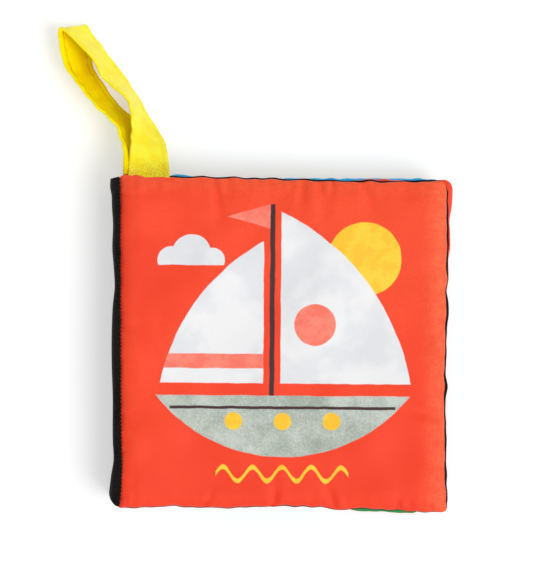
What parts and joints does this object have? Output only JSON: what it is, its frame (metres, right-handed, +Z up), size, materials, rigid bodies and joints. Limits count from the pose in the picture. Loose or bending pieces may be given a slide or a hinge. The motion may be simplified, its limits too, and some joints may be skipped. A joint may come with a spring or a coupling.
{
  "type": "cloth activity book",
  "caption": "Square padded cloth book with hinged covers, soft sewn pages, a bound cloth spine and a strap loop for hanging.",
  "frame": {"origin": "middle of the back cover's outer face, where the closed book lies on the table", "axes": "+X from the spine to the fore edge, +Y to the top edge with the hanging loop, +Z up through the front cover"},
  "size_m": [0.1811, 0.2226, 0.0289],
  "materials": {
    "red_cloth": "matte",
    "black_cloth": "matte",
    "page_cloth": "matte",
    "green_cloth": "matte",
    "yellow_satin": "matte",
    "white_ink": "matte",
    "sage_ink": "matte",
    "yellow_ink": "matte",
    "coral_ink": "matte",
    "brown_ink": "matte"
  },
  "bodies": {
    "back_cover": {"back_cover_face": "red_cloth", "back_cover_lining": "green_cloth"},
    "pages": {"pages": "page_cloth", "spine_strip": "black_cloth"},
    "front_cover": {"front_cover_face": "red_cloth", "front_cover_lining": "black_cloth", "hanging_loop": "yellow_satin", "print_white": "white_ink", "print_sage": "sage_ink", "print_yellow": "yellow_ink", "print_coral": "coral_ink", "print_brown": "brown_ink"}
  },
  "joints": [
    {"name": "back_cover_hinge", "type": "hinge", "parent": "back_cover", "child": "pages", "pos_m": [-0.0755, 0, 0.0035], "axis": [0, -1, 0], "range_deg": [0, 180]},
    {"name": "front_cover_hinge", "type": "hinge", "parent": "pages", "child": "front_cover", "pos_m": [-0.0755, 0, 0.0251], "axis": [0, -1, 0], "range_deg": [0, 180]}
  ]
}
